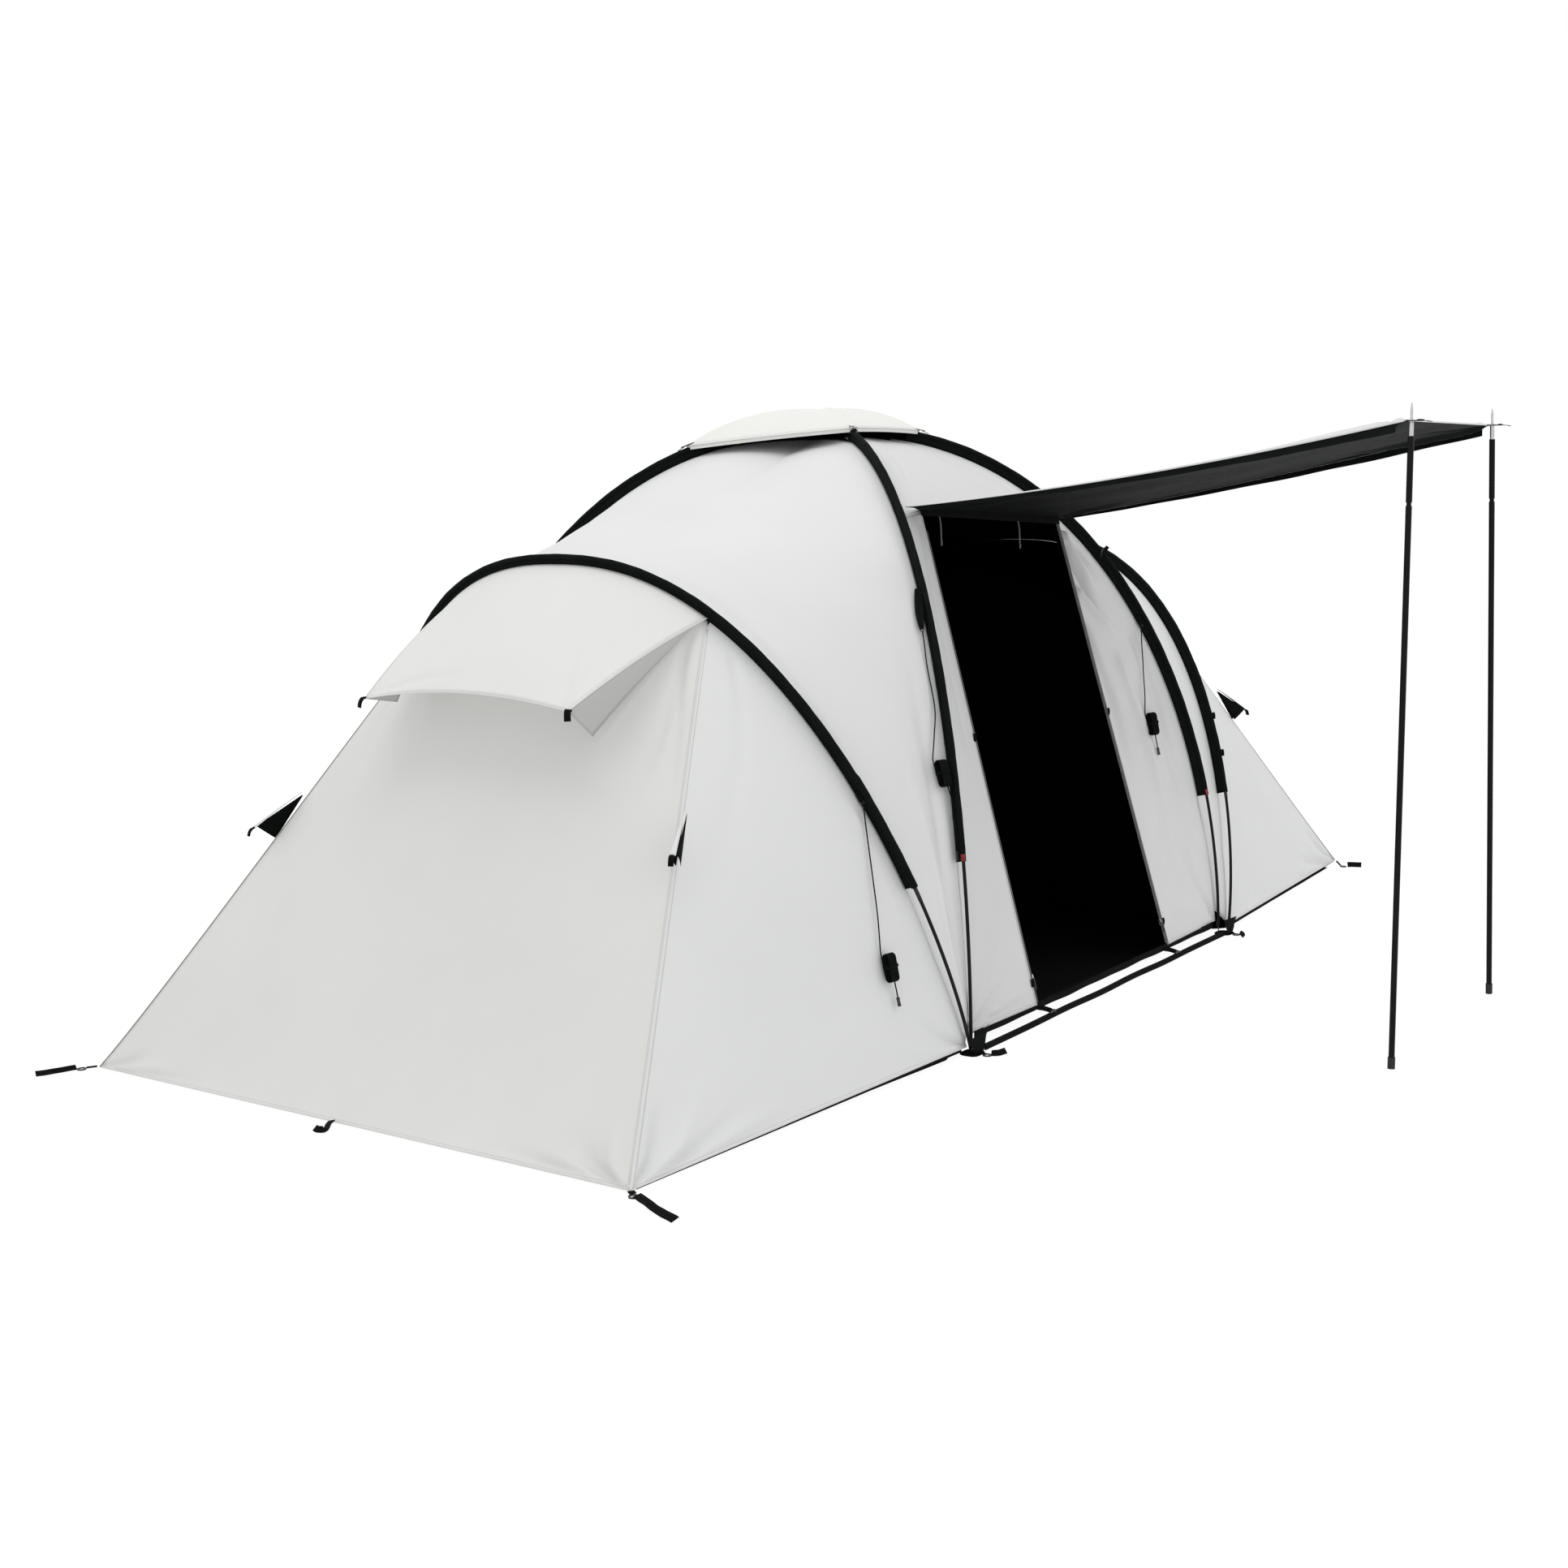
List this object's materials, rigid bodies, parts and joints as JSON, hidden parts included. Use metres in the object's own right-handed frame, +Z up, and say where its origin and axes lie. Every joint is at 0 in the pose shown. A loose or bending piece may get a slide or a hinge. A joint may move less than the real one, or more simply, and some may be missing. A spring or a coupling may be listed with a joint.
{
  "type": "family dome tent",
  "caption": "Dome tent with crossing poles over a living area, a low bedroom under an arch at each end, and a door panel propped out on poles as an awning.",
  "frame": {"origin": "ground level under the middle of the outer box", "axes": "+X along the tent from one bedroom to the other, -Y towards the door side and its awning, +Z up"},
  "size_m": [5.369, 3.5961, 2.0038],
  "materials": {
    "glass_fibre": "smooth black glass fibre",
    "elastic": "braided elastic",
    "black_webbing": "woven black polyester",
    "steel": "zinc plated",
    "fly_cream": "coated polyester, warm white outside and black inside",
    "fly_white": "coated polyester, white outside and black inside",
    "insect_mesh": "fine black mesh",
    "groundsheet": "woven polyethylene",
    "inner_cloth": "dark breathable polyester",
    "zip_tape": "woven zip tape with a nylon coil",
    "zip_metal": "black enamel with a cord pull",
    "tie_tape": "grey tape",
    "black_rubber": "moulded black rubber",
    "black_steel": "black powder coat",
    "black_plastic": "moulded black nylon",
    "guy_cord": "braided black polyester"
  },
  "bodies": {
    "tent": {"cross_pole_left": "glass_fibre", "cross_pole_right": "glass_fibre", "arch_pole_left": "glass_fibre", "arch_pole_right": "glass_fibre", "shock_cords": "elastic", "cross_sleeve_left": "black_webbing", "cross_sleeve_right": "black_webbing", "arch_sleeve_left": "black_webbing", "arch_sleeve_right": "black_webbing", "pole_foot_pins": "steel", "pole_foot_patches": "black_webbing", "peg_rings": "steel", "peg_straps": "black_webbing", "front_wall": "fly_white", "back_wall": "fly_white", "left_roof": "fly_white", "right_roof": "fly_white", "left_end_wall": "fly_cream", "right_end_wall": "fly_cream", "left_front_side": "fly_white", "left_back_side": "fly_white", "right_front_side": "fly_white", "right_back_side": "fly_white", "roof_mesh": "insect_mesh", "roof_cap": "fly_white", "left_hood": "fly_white", "right_hood": "fly_white", "vent_tabs": "black_webbing", "low_vent_cowls": "fly_white", "low_vent_gussets": "black_webbing", "hem_bands": "black_webbing", "ground_straps": "black_webbing", "groundsheet": "groundsheet", "bedroom_left": "inner_cloth", "bedroom_right": "inner_cloth", "door_zip_tapes": "zip_tape", "door_ties": "tie_tape", "guy_tabs": "black_webbing", "guy_runners": "black_plastic", "guy_line_arch": "guy_cord", "guy_hank_arch": "guy_cord", "guy_line_cross": "guy_cord", "guy_hank_cross": "guy_cord", "guy_line_right": "guy_cord", "guy_hank_right": "guy_cord"},
    "awning": {"awning": "fly_white"},
    "awning_pole_left": {"awning_pole_left_tab": "black_webbing", "awning_pole_left_upper": "black_steel", "awning_pole_left_lower": "black_steel", "awning_pole_left_spike": "steel", "awning_pole_left_foot": "black_rubber"},
    "awning_pole_right": {"awning_pole_right_tab": "black_webbing", "awning_pole_right_upper": "black_steel", "awning_pole_right_lower": "black_steel", "awning_pole_right_spike": "steel", "awning_pole_right_foot": "black_rubber"},
    "zip_slider_left": {"zip_slider_left": "zip_metal"},
    "zip_slider_right": {"zip_slider_right": "zip_metal"},
    "bedroom_left_door": {"bedroom_left_door": "inner_cloth"},
    "bedroom_right_door": {"bedroom_right_door": "inner_cloth"}
  },
  "joints": [
    {"name": "awning_swing", "type": "hinge", "parent": "tent", "child": "awning", "pos_m": [0, -0.137, 1.6285], "axis": [-0.9978, 0.0403, 0.0528], "range_deg": [0, 60]},
    {"name": "awning_pole_left_swivel", "type": "hinge", "parent": "awning", "child": "awning_pole_left", "pos_m": [-0.409, -1.722, 1.88675], "axis": [-0.9978, 0.0403, 0.0528], "range_deg": [-60, 0]},
    {"name": "awning_pole_right_swivel", "type": "hinge", "parent": "awning", "child": "awning_pole_right", "pos_m": [0.409, -1.722, 1.88675], "axis": [-0.9978, 0.0403, 0.0528], "range_deg": [-60, 0]},
    {"name": "zip_left_slide", "type": "slide", "parent": "tent", "child": "zip_slider_left", "axis": [0.0519, 0.2871, 0.9565], "range_m": [0, 1.42]},
    {"name": "zip_right_slide", "type": "slide", "parent": "tent", "child": "zip_slider_right", "axis": [-0.0175, 0.2764, 0.9609], "range_m": [0, 1.42]},
    {"name": "bedroom_left_door_swing", "type": "hinge", "parent": "tent", "child": "bedroom_left_door", "pos_m": [-1.059, 0.87, 0.7], "axis": [0, 0, 1], "range_deg": [0, 110]},
    {"name": "bedroom_right_door_swing", "type": "hinge", "parent": "tent", "child": "bedroom_right_door", "pos_m": [1.059, 0.87, 0.7], "axis": [0, 0, -1], "range_deg": [0, 110]}
  ],
  "couplings": [
    {"joint": "awning_pole_left_swivel", "follows": "awning_swing", "ratio": -1},
    {"joint": "awning_pole_right_swivel", "follows": "awning_swing", "ratio": -1}
  ]
}
